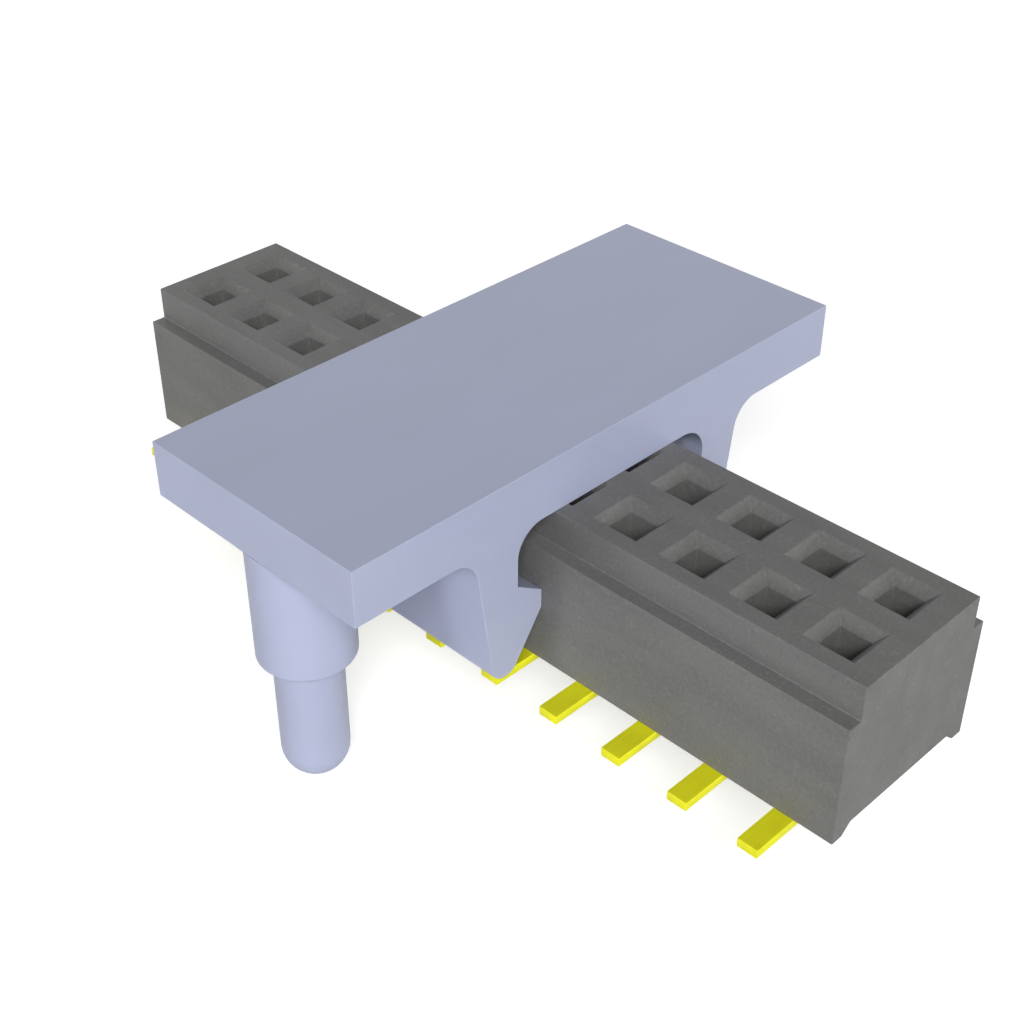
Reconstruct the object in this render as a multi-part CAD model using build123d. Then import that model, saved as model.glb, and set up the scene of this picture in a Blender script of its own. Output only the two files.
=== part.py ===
"""A two-row surface-mount socket for square pins, with a clip-on pick-and-place cap.

All sizes are in millimetres. The origin is the middle of the footprint, on the face of the
board. +X runs along the rows, +Y from the front row to the rear row, and +Z up from the board.
"""
import os
from math import radians, tan

from build123d import *

# Pin grid
columns = 12
pitch = 2.0
row_spacing = 2.0

# Housing: a stepped bar on two feet, with a channel between the feet
housing_height = 4.25
end_margin = 1.305
top_width = 4.25
base_width = 5.06
ledge_drop = 0.92
foot_width = 0.35
channel_depth = 0.26
channel_slope = 0.29

# Pin openings: a square funnel, a throat, and the chamber that the contact stands in
mouth_width = 1.33
throat_width = 0.82
funnel_depth = 0.26
throat_depth = 1.15
chamber_width = 1.3
chamber_inward = 0.45
chamber_outward = 0.7

# Contact: one strip, cut and bent, with its solder tail on the board
stock = 0.25
tail_width = 0.55
tail_reach = 3.8
tail_bend = 0.2
plate_rise = 0.1
plate_height = 0.78
neck_rise = 0.1
shoulder = 0.09
barb_height = 0.06
barb_land = 0.08
barb_ramp = 0.3
barb_inset = 0.2
web_relief = 0.1
wing_height = 0.55
wing_bend = 0.08
spring_root_width = 0.6
spring_tip_width = 0.4
spring_corner_gap = 0.4
spring_tip_gap = 0.6
spring_flare_height = 0.52
spring_bend = 0.4

# Running clearances inside the housing
wing_clearance = 0.02
slot_clearance = 0.02
spring_clearance = 0.1

# Cap: a flat plate for the suction nozzle, two hooked legs, and a stepped peg at the front
plate_length = 16.5
plate_width = 7.1
plate_thickness = 1.52
leg_tail_gap = 0.19
leg_root_width = 1.385
leg_foot_width = 0.62
leg_draft_angle = 8.13
leg_standoff = 0.81
leg_outer_fillet = 0.78
leg_inner_fillet = 0.8
leg_foot_fillet = 0.4
hook_drop = 2.06
hook_tip_height = 0.525
hook_slope = 0.505
hook_clearance = 0.01
peg_offset = 6.98
peg_shoulder_radius = 1.25
peg_shoulder_chamfer = 0.1
peg_standoff = 1.06
peg_radius = 0.875
peg_reach = 1.84

# Levels and places that follow from the sizes above
foot_z = stock
top_z = foot_z + housing_height
ledge_z = top_z - ledge_drop
ceiling_z = foot_z + channel_depth
chamber_top_z = top_z - throat_depth
row_y = row_spacing / 2
housing_length = (columns - 1) * pitch + 2 * end_margin
contact_plate_width = chamber_width + 2 * shoulder
slot_width = contact_plate_width + 2 * barb_height
plate_low_z = ceiling_z + plate_rise
slot_top_z = plate_low_z + plate_height
wing_low_z = slot_top_z + web_relief
wing_top_z = wing_low_z + wing_height
spring_tip_z = chamber_top_z - spring_clearance
spring_corner_z = spring_tip_z - spring_flare_height
wing_x = chamber_width / 2 - wing_clearance - stock / 2
web_edge = wing_x - wing_bend - stock / 2
web_y = chamber_outward - stock / 2


def mirrored(points):
    """An outline's right half, from bottom to top, closed with the same points on the left."""
    return points + [(-x, z) for x, z in reversed(points)]


def bent_strip(route, width, across):
    """Contact stock along a route of straight runs and bends, with its width along across."""
    start = Plane(origin=route @ 0, x_dir=across, z_dir=route % 0)
    return sweep(start * Rectangle(width, stock), path=route, transition=Transition.RIGHT)


def pin_cavity():
    """The hollow around one pin of the rear row, placed on the pin's axis."""
    funnel_side = mirrored([(throat_width / 2, top_z - funnel_depth), (mouth_width / 2, top_z)])
    trough = extrude(make_face(Plane.YZ * Polyline(*funnel_side, close=True)), mouth_width / 2, both=True)
    funnel = trough & Rot(0, 0, 90) * trough
    throat = Pos(0, 0, chamber_top_z) * Box(
        throat_width, throat_width, throat_depth - funnel_depth, align=(Align.CENTER, Align.CENTER, Align.MIN)
    )
    chamber = Pos(0, chamber_outward, foot_z) * Box(
        chamber_width,
        chamber_inward + chamber_outward,
        chamber_top_z - foot_z,
        align=(Align.CENTER, Align.MAX, Align.MIN),
    )
    slot = Pos(0, chamber_outward, foot_z) * Box(
        slot_width, stock + slot_clearance, slot_top_z - foot_z, align=(Align.CENTER, Align.MAX, Align.MIN)
    )
    return funnel + throat + chamber + slot


def both_rows(rear_piece):
    """A rear piece at each column of the rear row, and turned about at each of the front row."""
    first_x = -(columns - 1) * pitch / 2
    places = [Pos(first_x + column * pitch, row_y, 0) for column in range(columns)]
    rear = [place * rear_piece for place in places]
    front = [mirror(piece, about=Plane.XZ) for piece in rear]
    return front, rear


def make_housing():
    """The moulded bar: its end view along the rows, less a cavity for each pin."""
    foot_inner = base_width / 2 - foot_width
    half = [
        (foot_inner - channel_slope, ceiling_z),
        (foot_inner, foot_z),
        (base_width / 2, foot_z),
        (base_width / 2, ledge_z),
        (top_width / 2, ledge_z),
        (top_width / 2, top_z),
    ]
    end_view = make_face(Plane.YZ * Polyline(*mirrored(half), close=True))
    bar = extrude(end_view, housing_length / 2, both=True)
    front, rear = both_rows(pin_cavity())
    return bar - (front + rear)


def contact_plate():
    """The flat plate that holds the contact: barbed edges, shoulders, and a web to the wings."""
    edge = contact_plate_width / 2
    half = [(tail_width / 2, plate_low_z - neck_rise), (edge, plate_low_z)]
    barb_z = plate_low_z + barb_inset
    half += [
        (edge, barb_z),
        (edge + barb_height, barb_z),
        (edge + barb_height, barb_z + barb_land),
        (edge, barb_z + barb_land + barb_ramp),
    ]
    half += [(edge, slot_top_z), (web_edge, slot_top_z), (web_edge, wing_low_z)]
    back = Plane.XZ.offset(-chamber_outward)
    return extrude(make_face(back * Polyline(*mirrored(half), close=True)), stock)


def contact_tail():
    """The strip's lower end: down out of the housing, round a bend, and out along the board."""
    route = FilletPolyline(
        (0, web_y, plate_low_z - neck_rise),
        (0, web_y, stock / 2),
        (0, tail_reach - row_y, stock / 2),
        radius=tail_bend + stock / 2,
    )
    return bent_strip(route, tail_width, (1, 0, 0))


def contact_wings():
    """The web and its two side wings, folded towards the pin."""
    wing_y = -spring_root_width / 2
    middle_z = (wing_low_z + wing_top_z) / 2
    route = FilletPolyline(
        (wing_x, wing_y, middle_z),
        (wing_x, web_y, middle_z),
        (-wing_x, web_y, middle_z),
        (-wing_x, wing_y, middle_z),
        radius=wing_bend + stock / 2,
    )
    return bent_strip(route, wing_height, (0, 0, 1))


def contact_springs():
    """Two springs that lean in from the wings, meet the pin's sides, and flare at their tips."""
    route = FilletPolyline(
        (wing_x, 0, wing_low_z),
        (wing_x, 0, wing_top_z),
        ((spring_corner_gap + stock) / 2, 0, spring_corner_z),
        ((spring_tip_gap + stock) / 2, 0, spring_tip_z),
        radius=[0, spring_bend],
    )
    strip = bent_strip(route, spring_root_width, (0, 1, 0))
    half = [
        (spring_root_width / 2, wing_low_z),
        (spring_root_width / 2, wing_top_z),
        (spring_tip_width / 2, spring_tip_z),
    ]
    side_view = make_face(Plane.YZ * Polyline(*mirrored(half), close=True))
    spring = strip & extrude(side_view, chamber_width, both=True)
    return spring + mirror(spring, about=Plane.YZ)


def make_contact():
    """One whole contact of the rear row, on its pin's axis."""
    return contact_plate() + contact_tail() + contact_wings() + contact_springs()


def cap_plate_and_legs():
    """The plate and both legs: one end view, as long as the plate is wide."""
    wall_y = base_width / 2
    inner_y = wall_y + leg_standoff
    outer_y = inner_y + leg_root_width
    foot_low_z = stock + leg_tail_gap
    foot_outer_y = outer_y - (top_z - foot_low_z) * tan(radians(leg_draft_angle))
    hook_y = wall_y + hook_clearance
    hook_z = top_z - hook_drop
    corners = [
        (plate_length / 2, top_z + plate_thickness, 0),
        (plate_length / 2, top_z, 0),
        (outer_y, top_z, leg_outer_fillet),
        (foot_outer_y, foot_low_z, leg_foot_fillet),
        (foot_outer_y - leg_foot_width, foot_low_z, leg_foot_fillet),
        (hook_y, hook_z - hook_tip_height, 0),
        (hook_y, hook_z, 0),
        (inner_y, hook_z + hook_slope, 0),
        (inner_y, top_z, leg_inner_fillet),
    ]
    corners += [(-y, z, fillet_radius) for y, z, fillet_radius in reversed(corners)]
    outline = FilletPolyline(
        *[(y, z) for y, z, fillet_radius in corners],
        radius=[fillet_radius for y, z, fillet_radius in corners],
        close=True,
    )
    return extrude(make_face(Plane.YZ * outline), plate_width / 2, both=True)


def cap_peg():
    """The stepped peg: a shoulder that stops above the board, and a round-ended pin through it."""
    shoulder_length = top_z - peg_standoff
    bottom_up = (Align.CENTER, Align.CENTER, Align.MIN)
    peg_shoulder = Pos(0, 0, peg_standoff) * Cylinder(peg_shoulder_radius, shoulder_length, align=bottom_up)
    lower_rim = peg_shoulder.edges().group_by(Axis.Z)[0]
    peg_shoulder = chamfer(lower_rim, peg_shoulder_chamfer)
    pin = Pos(0, 0, -peg_reach) * Cylinder(peg_radius, peg_reach + peg_standoff, align=bottom_up)
    tip = Pos(0, 0, -peg_reach) * Sphere(peg_radius)
    return Pos(0, -peg_offset, 0) * (peg_shoulder + pin + tip)


def make_cap():
    """The one-piece cap, seated on the housing's top."""
    return cap_plate_and_legs() + cap_peg()


def write_piece(piece, name):
    """Save one piece under its own name."""
    solid = piece.solid()
    solid.label = name
    export_step(solid, os.path.join("parts", name + ".step"))


def main():
    os.makedirs("parts", exist_ok=True)
    write_piece(make_housing(), "housing")
    write_piece(make_cap(), "pick_and_place_cap")
    front, rear = both_rows(make_contact())
    for row_name, row in (("front", front), ("rear", rear)):
        for number, contact in enumerate(row, start=1):
            write_piece(contact, f"{row_name}_contact_{number:02d}")


main()
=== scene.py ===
from math import pi, radians

import bmesh
import bpy
from bpy.props import FloatProperty, FloatVectorProperty, IntProperty, PointerProperty
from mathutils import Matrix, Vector


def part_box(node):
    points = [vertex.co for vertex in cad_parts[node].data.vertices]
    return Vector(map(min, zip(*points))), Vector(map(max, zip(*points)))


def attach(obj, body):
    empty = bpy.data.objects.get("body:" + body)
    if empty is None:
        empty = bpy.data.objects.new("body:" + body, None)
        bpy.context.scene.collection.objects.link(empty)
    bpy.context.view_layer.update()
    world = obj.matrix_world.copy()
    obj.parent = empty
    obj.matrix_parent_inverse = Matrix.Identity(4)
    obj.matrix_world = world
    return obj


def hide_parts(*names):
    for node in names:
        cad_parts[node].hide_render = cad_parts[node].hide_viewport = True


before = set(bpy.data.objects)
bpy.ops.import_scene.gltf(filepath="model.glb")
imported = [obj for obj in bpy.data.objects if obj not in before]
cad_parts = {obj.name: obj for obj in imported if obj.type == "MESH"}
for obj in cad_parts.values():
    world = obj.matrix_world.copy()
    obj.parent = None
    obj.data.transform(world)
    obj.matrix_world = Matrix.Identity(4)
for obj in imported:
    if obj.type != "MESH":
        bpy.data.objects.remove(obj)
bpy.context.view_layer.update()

bl_info = {
    "name": "Surface-Mount Pin Socket",
    "version": (1, 0, 0),
    "blender": (4, 5, 0),
    "location": "3D View > Sidebar > Pin Socket",
    "description": "Moulded, stamped and plated finishes for a two-row socket and its pick-and-place cap",
    "category": "Object",
}

MM = 0.001
BLACK = (0.0, 0.0, 0.0, 1.0)
WHITE = (1.0, 1.0, 1.0, 1.0)

# Gaps that are welded, in millimetres: in the copy of a node, and between the points of its new edges
COPY_WELD = 0.0005
EDGE_WELD = 0.0001

# An edge up to the first angle lies in a flat face, and one over the second is sharp, in degrees
FLAT_ANGLE = 0.5
SHARP_ANGLE = 24

# The stage, in metres
LAMP_DISTANCE = 0.4
KEY_DIAMETER = 0.16
FILL_DIAMETER = 0.11
FLOOR_RADIUS = 0.6
FLOOR_SIDES = 96

# The colour sockets of a Mix node, by place, because other sockets share their names
MIX_SHARE, MIX_FIRST, MIX_SECOND, MIX_RESULT = 0, 6, 7, 2


class Signal:
    """A number from a shader socket. Arithmetic on it adds Math nodes."""

    def __init__(self, shader, socket):
        self.shader = shader
        self.socket = socket

    def _math(self, operation, *values):
        made = self.shader.node("ShaderNodeMath", {"operation": operation}, dict(enumerate(values)))
        return made["Value"]

    def __add__(self, other):
        return self._math("ADD", self, other)

    __radd__ = __add__

    def __sub__(self, other):
        return self._math("SUBTRACT", self, other)

    def __rsub__(self, other):
        return self._math("SUBTRACT", other, self)

    def __mul__(self, other):
        return self._math("MULTIPLY", self, other)

    __rmul__ = __mul__

    def at_least(self, floor):
        return self._math("MAXIMUM", self, floor)

    def at_most(self, ceiling):
        return self._math("MINIMUM", self, ceiling)

    def step(self, low, high):
        """0 below low, 1 above high, and a smooth rise between them."""
        settings = {"interpolation_type": "SMOOTHSTEP"}
        inputs = {"Value": self, "From Min": low, "From Max": high}
        return self.shader.node("ShaderNodeMapRange", settings, inputs)["Result"]

    def swing(self, amount):
        """From -amount to amount, as the signal goes from 0 to 1."""
        return (self - 0.5) * (2 * amount)


class Outputs:
    """The outputs of one node, by name or place."""

    def __init__(self, shader, made):
        self.shader = shader
        self.made = made

    def __getitem__(self, name):
        return Signal(self.shader, self.made.outputs[name])


class Shader:
    """The node tree of a material or of the world."""

    def __init__(self, owner):
        owner.use_nodes = True
        self.tree = owner.node_tree
        self.tree.nodes.clear()

    def node(self, kind, settings=(), inputs=()):
        """Add a node. Its settings come first, then the values or links of its sockets."""
        made = self.tree.nodes.new(kind)
        for name, value in dict(settings).items():
            setattr(made, name, value)
        for name, value in dict(inputs).items():
            if isinstance(value, Signal):
                self.tree.links.new(value.socket, made.inputs[name])
            else:
                made.inputs[name].default_value = value
        return Outputs(self, made)

    def vector_math(self, operation, *values):
        return self.node("ShaderNodeVectorMath", {"operation": operation}, dict(enumerate(values)))

    def stretched(self, vector, factors):
        return self.vector_math("MULTIPLY", vector, factors)["Vector"]

    def position(self):
        """The place on the piece, in millimetres."""
        place = self.node("ShaderNodeTexCoord")["Object"]
        return self.stretched(place, (1 / MM, 1 / MM, 1 / MM))

    def noise(self, vector, scale=1.0, detail=2.0, roughness=0.5):
        inputs = {"Vector": vector, "Scale": scale, "Detail": detail, "Roughness": roughness}
        return self.node("ShaderNodeTexNoise", {"noise_dimensions": "3D"}, inputs)["Fac"]

    def blend(self, share, first, second):
        """A colour from first to second, by share."""
        inputs = {MIX_SHARE: share, MIX_FIRST: first, MIX_SECOND: second}
        return self.node("ShaderNodeMix", {"data_type": "RGBA"}, inputs)[MIX_RESULT]

    def tinted(self, tone, colour, darkest, lightest):
        """The colour, times a factor that goes from darkest to lightest with the tone."""
        return self.blend(tone, shade(colour, darkest), shade(colour, lightest))

    def relief(self, height, distance):
        """A normal that follows a height, where a height of 1 stands out by distance."""
        inputs = {"Height": height, "Distance": distance, "Strength": 1.0}
        return self.node("ShaderNodeBump", inputs=inputs)["Normal"]

    def in_sight(self):
        """1 for what is seen, also in a reflection or through glass, and 0 for what only gives light."""
        path = self.node("ShaderNodeLightPath")
        return (path["Is Camera Ray"] + path["Is Glossy Ray"] + path["Is Transmission Ray"]).at_most(1.0)

    def surface(self, inputs):
        """Give the material a surface with these inputs."""
        made = self.node("ShaderNodeBsdfPrincipled", inputs=inputs)["BSDF"]
        self.node("ShaderNodeOutputMaterial", inputs={"Surface": made})


def shade(colour, factor):
    """A colour times a factor, with an alpha of 1."""
    return (*(channel * factor for channel in colour[:3]), 1.0)


def housing_material(look):
    """Dark grey moulded plastic: a fine eroded grain, and pale flow lines along the bar."""
    material = bpy.data.materials.new("housing_plastic")
    shader = Shader(material)
    place = shader.position()
    grain = shader.noise(place, 1 / look.grain_size, detail=3.0, roughness=0.6)
    coarse_grain = shader.noise(place, 0.5 / look.grain_size, detail=1.0)
    specks = coarse_grain.step(low=0.62, high=0.74)
    along_the_bar = shader.stretched(place, (0.22, 1.1, 0.8))
    flow = shader.noise(along_the_bar, detail=3.0, roughness=0.55)
    tone = 0.45 + flow.swing(look.flow) + grain.swing(look.grain_contrast) + specks * look.speck_contrast
    shader.surface({
        "Base Color": shader.tinted(tone, look.colour, darkest=0.78, lightest=1.22),
        "Roughness": look.roughness + grain.swing(0.15) - flow * 0.06,
        "Specular IOR Level": look.specular,
        "Normal": shader.relief(grain + specks * 0.3, look.grain_depth),
    })
    return material


def cap_material(look):
    """Light blue-grey moulded plastic: satin, nearly smooth, and a little cloudy."""
    material = bpy.data.materials.new("cap_plastic")
    shader = Shader(material)
    place = shader.position()
    grain = shader.noise(place, 1 / look.grain_size)
    along_the_plate = shader.stretched(place, (0.5, 0.16, 0.5))
    cloud = shader.noise(along_the_plate)
    tone = 0.5 + cloud.swing(look.clouding) + grain.swing(look.grain_contrast)
    shader.surface({
        "Base Color": shader.tinted(tone, look.colour, darkest=0.92, lightest=1.08),
        "Roughness": look.roughness + grain.swing(0.03) + cloud.swing(0.05),
        "Normal": shader.relief(grain, look.grain_depth),
    })
    return material


def contact_material(look):
    """Yellow plated strip: fine rolling lines along it, and a slightly uneven plating."""
    material = bpy.data.materials.new("contact_metal")
    shader = Shader(material)
    place = shader.position()
    along_the_strip = shader.stretched(place, (26.0, 1.2, 1.2))
    lines = shader.noise(along_the_strip, roughness=0.6)
    patches = shader.noise(place, 1.7)
    tone = 0.5 + lines.swing(look.line_contrast) + patches.swing(look.patches)
    shader.surface({
        "Base Color": shader.tinted(tone, look.colour, darkest=0.88, lightest=1.1),
        "Metallic": look.metallic,
        "Roughness": look.roughness + lines.swing(0.1) + patches.swing(0.06),
        "Normal": shader.relief(lines, look.line_depth),
    })
    return material


def floor_material(look):
    """Pale paint that glows for the camera, and fades to white with the distance."""
    material = bpy.data.materials.new("floor_paint")
    shader = Shader(material)
    place = shader.position()
    distance = shader.vector_math("LENGTH", place)["Value"]
    fade = distance.step(look.fade_start / MM, look.fade_end / MM)
    lift = shader.node("ShaderNodeLightPath")["Is Camera Ray"] * look.floor_lift
    glow = lift + shader.in_sight() * fade * (1 - look.floor_lift)
    speckle = shader.noise(place, 0.4)
    shader.surface({
        "Base Color": shader.tinted(speckle, look.floor_colour, darkest=0.99, lightest=1.01),
        "Roughness": 0.9,
        "Emission Color": shader.blend(glow, BLACK, WHITE),
        "Emission Strength": 1.0,
    })
    return material


def add_object(name, data):
    """A new object in the scene, at the origin."""
    made = bpy.data.objects.new(name, data)
    bpy.context.scene.collection.objects.link(made)
    return made


def add_mesh_object(name, shell, material):
    """A new object from a bmesh, which it frees, with its material."""
    mesh = bpy.data.meshes.new(name)
    shell.to_mesh(mesh)
    shell.free()
    mesh.materials.append(material)
    return add_object(name, mesh)


def rounded_copy(node_name, edge_radius, segments):
    """A copy of a CAD node as one shell of whole faces, with a small radius on its sharp edges."""
    shell = bmesh.new()
    shell.from_mesh(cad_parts[node_name].data)
    bmesh.ops.scale(shell, vec=(1 / MM, 1 / MM, 1 / MM), verts=shell.verts)
    bmesh.ops.remove_doubles(shell, verts=shell.verts, dist=COPY_WELD)
    bmesh.ops.dissolve_limit(
        shell, angle_limit=radians(FLAT_ANGLE), verts=shell.verts, edges=shell.edges,
    )
    sharp = [edge for edge in shell.edges if edge.calc_face_angle(0) > radians(SHARP_ANGLE)]
    bmesh.ops.bevel(
        shell,
        geom=sharp,
        offset=edge_radius / MM,
        offset_type="OFFSET",
        affect="EDGES",
        segments=segments,
        profile=0.5,
        clamp_overlap=True,
        material=-1,
    )
    bmesh.ops.remove_doubles(shell, verts=shell.verts, dist=EDGE_WELD)
    bmesh.ops.scale(shell, vec=(MM, MM, MM), verts=shell.verts)
    for face in shell.faces:
        face.smooth = True
    return shell


def dress(node_name, piece_name, body, material, look):
    """Stand a rounded copy in for its CAD node, in its own finish."""
    shell = rounded_copy(node_name, look.edge_radius, look.edge_segments)
    piece = add_mesh_object(piece_name, shell, material)
    normals = piece.modifiers.new("Flat faces stay flat", "WEIGHTED_NORMAL")
    normals.mode = "FACE_AREA"
    normals.weight = 100
    normals.keep_sharp = True
    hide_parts(node_name)
    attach(piece, body)


def make_floor(look):
    """A wide floor under the peg's tip, the lowest point."""
    disc = bmesh.new()
    bmesh.ops.create_circle(disc, cap_ends=True, segments=FLOOR_SIDES, radius=FLOOR_RADIUS)
    bmesh.ops.translate(disc, vec=(0, 0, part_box("pick_and_place_cap")[0].z), verts=disc.verts)
    floor = add_mesh_object("floor", disc, floor_material(look))


def make_sky(look):
    """White where it is seen, while its light changes from the horizon to the zenith."""
    world = bpy.data.worlds.new("sky")
    bpy.context.scene.world = world
    shader = Shader(world)
    direction = shader.node("ShaderNodeTexCoord")["Generated"]
    height = shader.node("ShaderNodeSeparateXYZ", inputs={"Vector": direction})["Z"].at_least(0.0)
    ambient = shader.blend(height, shade(WHITE, look.horizon), shade(WHITE, look.zenith))
    colour = shader.blend(shader.in_sight(), ambient, WHITE)
    sky = shader.node("ShaderNodeBackground", inputs={"Color": colour})["Background"]
    shader.node("ShaderNodeOutputWorld", inputs={"Surface": sky})


def make_lamp(name, direction, diameter, light):
    """A round lamp in a direction from the socket. Light is what a white face turned to it sends back."""
    data = bpy.data.lights.new(name, "AREA")
    data.shape = "DISK"
    data.size = diameter
    data.energy = light * (pi * LAMP_DISTANCE) ** 2
    lamp = add_object(name, data)
    towards = Vector(direction).normalized()
    lamp.location = towards * LAMP_DISTANCE
    lamp.rotation_euler = towards.to_track_quat("Z", "Y").to_euler()


def make_camera(look):
    """The camera that the scene is rendered from."""
    data = bpy.data.cameras.new("camera")
    data.lens = look.camera_lens
    data.sensor_width = 36
    data.clip_start = 0.001
    data.clip_end = 5
    camera = add_object("camera", data)
    camera.location = look.camera_place
    camera.rotation_euler = Vector(look.camera_aim).to_track_quat("-Z", "Y").to_euler()
    bpy.context.scene.camera = camera


class HousingLook(bpy.types.PropertyGroup):
    """The finish of the housing."""

    colour: FloatVectorProperty(
        name="Colour", description="Colour of the housing's plastic", subtype="COLOR", size=3,
        min=0.0, max=1.0, default=(0.159, 0.158, 0.155),
    )
    roughness: FloatProperty(
        name="Roughness", description="How matt the plastic is", subtype="FACTOR",
        min=0.0, max=1.0, default=0.47,
    )
    specular: FloatProperty(
        name="Specular", description="How much the plastic reflects, where 0.5 is usual", subtype="FACTOR",
        min=0.0, max=1.0, default=0.14,
    )
    flow: FloatProperty(
        name="Flow lines", description="How much the moulding's flow lines show", subtype="FACTOR",
        min=0.0, max=1.0, default=0.5,
    )
    grain_size: FloatProperty(
        name="Grain size", description="Width of a grain, in millimetres",
        min=0.01, max=1.0, default=0.085,
    )
    grain_contrast: FloatProperty(
        name="Grain contrast", description="How much the grain changes the tone", subtype="FACTOR",
        min=0.0, max=1.0, default=0.55,
    )
    speck_contrast: FloatProperty(
        name="Speck contrast", description="How much the pale specks show", subtype="FACTOR",
        min=0.0, max=1.0, default=0.22,
    )
    grain_depth: FloatProperty(
        name="Grain depth", description="Depth of the grain", unit="LENGTH",
        min=0.0, max=0.0001, default=0.000006, precision=7,
    )
    edge_radius: FloatProperty(
        name="Edge radius", description="Radius on the sharp edges", unit="LENGTH",
        min=0.0, max=0.0001, default=0.00004, precision=7,
    )
    edge_segments: IntProperty(
        name="Edge segments", description="Strips in each edge radius", min=1, max=6, default=3,
    )


class CapLook(bpy.types.PropertyGroup):
    """The finish of the pick-and-place cap."""

    colour: FloatVectorProperty(
        name="Colour", description="Colour of the cap's plastic", subtype="COLOR", size=3,
        min=0.0, max=1.0, default=(0.375, 0.405, 0.55),
    )
    roughness: FloatProperty(
        name="Roughness", description="How matt the plastic is", subtype="FACTOR",
        min=0.0, max=1.0, default=0.34,
    )
    clouding: FloatProperty(
        name="Clouding", description="How cloudy the plastic is", subtype="FACTOR",
        min=0.0, max=1.0, default=0.4,
    )
    grain_size: FloatProperty(
        name="Grain size", description="Width of a grain, in millimetres",
        min=0.01, max=1.0, default=0.12,
    )
    grain_contrast: FloatProperty(
        name="Grain contrast", description="How much the grain changes the tone", subtype="FACTOR",
        min=0.0, max=1.0, default=0.1,
    )
    grain_depth: FloatProperty(
        name="Grain depth", description="Depth of the grain", unit="LENGTH",
        min=0.0, max=0.0001, default=0.0000015, precision=7,
    )
    edge_radius: FloatProperty(
        name="Edge radius", description="Radius on the sharp edges", unit="LENGTH",
        min=0.0, max=0.0002, default=0.000035, precision=7,
    )
    edge_segments: IntProperty(
        name="Edge segments", description="Strips in each edge radius", min=1, max=6, default=3,
    )


class ContactLook(bpy.types.PropertyGroup):
    """The finish of the contacts."""

    colour: FloatVectorProperty(
        name="Colour", description="Colour of the contacts' plating", subtype="COLOR", size=3,
        min=0.0, max=1.0, default=(0.92, 0.9, 0.012),
    )
    metallic: FloatProperty(
        name="Metallic", description="How much the plating looks like bare metal", subtype="FACTOR",
        min=0.0, max=1.0, default=0.42,
    )
    roughness: FloatProperty(
        name="Roughness", description="How matt the plating is", subtype="FACTOR",
        min=0.0, max=1.0, default=0.46,
    )
    patches: FloatProperty(
        name="Patches", description="How uneven the plating is", subtype="FACTOR",
        min=0.0, max=1.0, default=0.3,
    )
    line_contrast: FloatProperty(
        name="Line contrast", description="How much the rolling lines show", subtype="FACTOR",
        min=0.0, max=1.0, default=0.3,
    )
    line_depth: FloatProperty(
        name="Line depth", description="Depth of the rolling lines", unit="LENGTH",
        min=0.0, max=0.0001, default=0.0000012, precision=7,
    )
    edge_radius: FloatProperty(
        name="Edge radius", description="Radius on the sheared edges", unit="LENGTH",
        min=0.0, max=0.0001, default=0.00002, precision=7,
    )
    edge_segments: IntProperty(
        name="Edge segments", description="Strips in each edge radius", min=1, max=6, default=2,
    )


class StageLook(bpy.types.PropertyGroup):
    """The floor, the light and the camera."""

    floor_colour: FloatVectorProperty(
        name="Floor", description="Colour of the floor", subtype="COLOR", size=3,
        min=0.0, max=1.0, default=(0.76, 0.76, 0.76),
    )
    floor_lift: FloatProperty(
        name="Floor lift", description="Glow that the floor adds for the camera",
        min=0.0, max=1.0, default=0.5,
    )
    fade_start: FloatProperty(
        name="Fade start", description="Where the floor begins to fade to white", unit="LENGTH",
        min=0.0, default=32 * MM,
    )
    fade_end: FloatProperty(
        name="Fade end", description="Where the floor is white", unit="LENGTH",
        min=0.0, default=120 * MM,
    )
    horizon: FloatProperty(
        name="Horizon", description="Light from low round about", min=0.0, max=2.0, default=0.32,
    )
    zenith: FloatProperty(
        name="Zenith", description="Light from straight above", min=0.0, max=2.0, default=0.0,
    )
    key_light: FloatProperty(
        name="Key lamp", description="Light from near the camera", min=0.0, default=0.77,
    )
    side_light: FloatProperty(
        name="Side lamp", description="Light from the right", min=0.0, default=0.29,
    )
    front_light: FloatProperty(
        name="Front lamp", description="Light from the front", min=0.0, default=0.23,
    )
    back_light: FloatProperty(
        name="Back lamps", description="Light from the left, and from the rear", min=0.0, default=0.28,
    )
    camera_place: FloatVectorProperty(
        name="Camera", description="Place of the camera", subtype="XYZ", unit="LENGTH", size=3,
        default=(24.745 * MM, -24.745 * MM, 26.402 * MM), precision=6,
    )
    camera_aim: FloatVectorProperty(
        name="Aim", description="Direction of the camera's view", subtype="DIRECTION", size=3,
        default=(-1.0, 1.0, -1.0),
    )
    camera_lens: FloatProperty(
        name="Lens", description="Focal length, in millimetres", min=10.0, max=200.0, default=57.09,
    )


class SOCKET_OT_housing(bpy.types.Operator):
    """Dress the moulded housing"""

    bl_idname = "socket.dress_housing"
    bl_label = "Housing"

    def execute(self, context):
        look = context.scene.socket_housing
        dress("housing", "housing_moulding", "socket", housing_material(look), look)
        return {"FINISHED"}


class SOCKET_OT_cap(bpy.types.Operator):
    """Dress the pick-and-place cap"""

    bl_idname = "socket.dress_cap"
    bl_label = "Pick-and-Place Cap"

    def execute(self, context):
        look = context.scene.socket_cap
        dress("pick_and_place_cap", "cap_moulding", "cap", cap_material(look), look)
        return {"FINISHED"}


class SOCKET_OT_contacts(bpy.types.Operator):
    """Dress the contacts of both rows"""

    bl_idname = "socket.dress_contacts"
    bl_label = "Contacts"

    def execute(self, context):
        look = context.scene.socket_contacts
        material = contact_material(look)
        names = sorted(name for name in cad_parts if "_contact_" in name)
        if not names:
            raise RuntimeError("the frame holds no contacts")
        for name in names:
            dress(name, name + "_plated", "socket", material, look)
        return {"FINISHED"}


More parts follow.
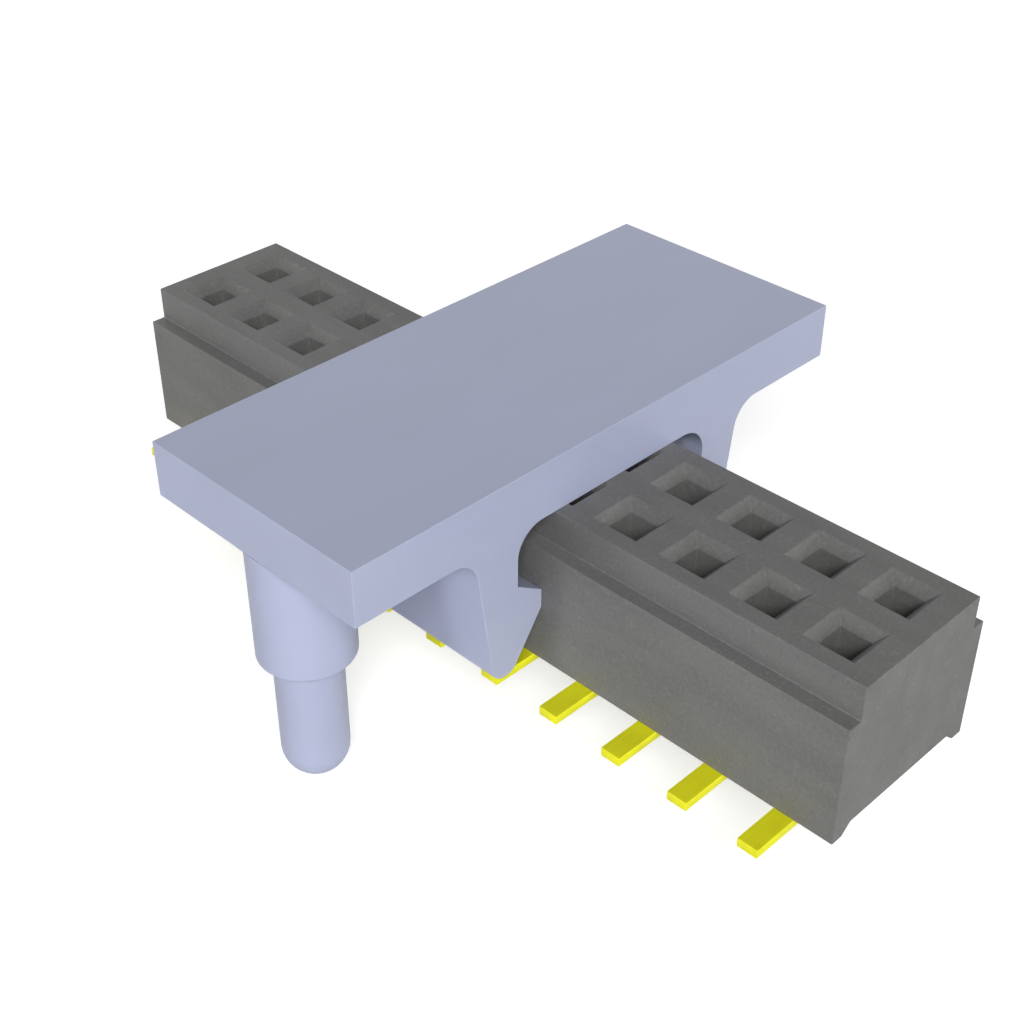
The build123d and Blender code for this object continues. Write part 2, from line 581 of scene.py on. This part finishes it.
class SOCKET_OT_stage(bpy.types.Operator):
    """Set out the floor, the lamps, the sky and the camera"""

    bl_idname = "socket.set_stage"
    bl_label = "Stage"

    def execute(self, context):
        look = context.scene.socket_stage
        make_floor(look)
        make_sky(look)
        make_lamp("key_lamp", (0.57, -0.53, 0.63), KEY_DIAMETER, look.key_light)
        make_lamp("side_lamp", (0.98, -0.1, 0.15), FILL_DIAMETER, look.side_light)
        make_lamp("front_lamp", (-0.3, -0.94, 0.15), FILL_DIAMETER, look.front_light)
        make_lamp("left_lamp", (-0.98, 0.1, 0.15), FILL_DIAMETER, look.back_light)
        make_lamp("rear_lamp", (0.1, 0.98, 0.15), FILL_DIAMETER, look.back_light)
        make_camera(look)
        context.scene.view_settings.view_transform = "Standard"
        return {"FINISHED"}


class SOCKET_PT_pieces(bpy.types.Panel):
    """The socket's pieces and their finishes"""

    bl_idname = "SOCKET_PT_pieces"
    bl_label = "Pin Socket"
    bl_space_type = "VIEW_3D"
    bl_region_type = "UI"
    bl_category = "Pin Socket"

    def draw(self, context):
        rows = (
            (SOCKET_OT_housing, context.scene.socket_housing),
            (SOCKET_OT_cap, context.scene.socket_cap),
            (SOCKET_OT_contacts, context.scene.socket_contacts),
            (SOCKET_OT_stage, context.scene.socket_stage),
        )
        for operator, look in rows:
            column = self.layout.box().column()
            column.operator(operator.bl_idname)
            for name in look.__annotations__:
                column.prop(look, name)


LOOKS = {
    "socket_housing": HousingLook,
    "socket_cap": CapLook,
    "socket_contacts": ContactLook,
    "socket_stage": StageLook,
}
CLASSES = (
    *LOOKS.values(),
    SOCKET_OT_housing,
    SOCKET_OT_cap,
    SOCKET_OT_contacts,
    SOCKET_OT_stage,
    SOCKET_PT_pieces,
)


def register():
    for made in CLASSES:
        bpy.utils.register_class(made)
    for name, look in LOOKS.items():
        setattr(bpy.types.Scene, name, PointerProperty(type=look))


def unregister():
    for name in LOOKS:
        delattr(bpy.types.Scene, name)
    for made in reversed(CLASSES):
        bpy.utils.unregister_class(made)


def main():
    register()
    bpy.ops.socket.dress_housing()
    bpy.ops.socket.dress_cap()
    bpy.ops.socket.dress_contacts()
    bpy.ops.socket.set_stage()


if __name__ == "__main__":
    main()
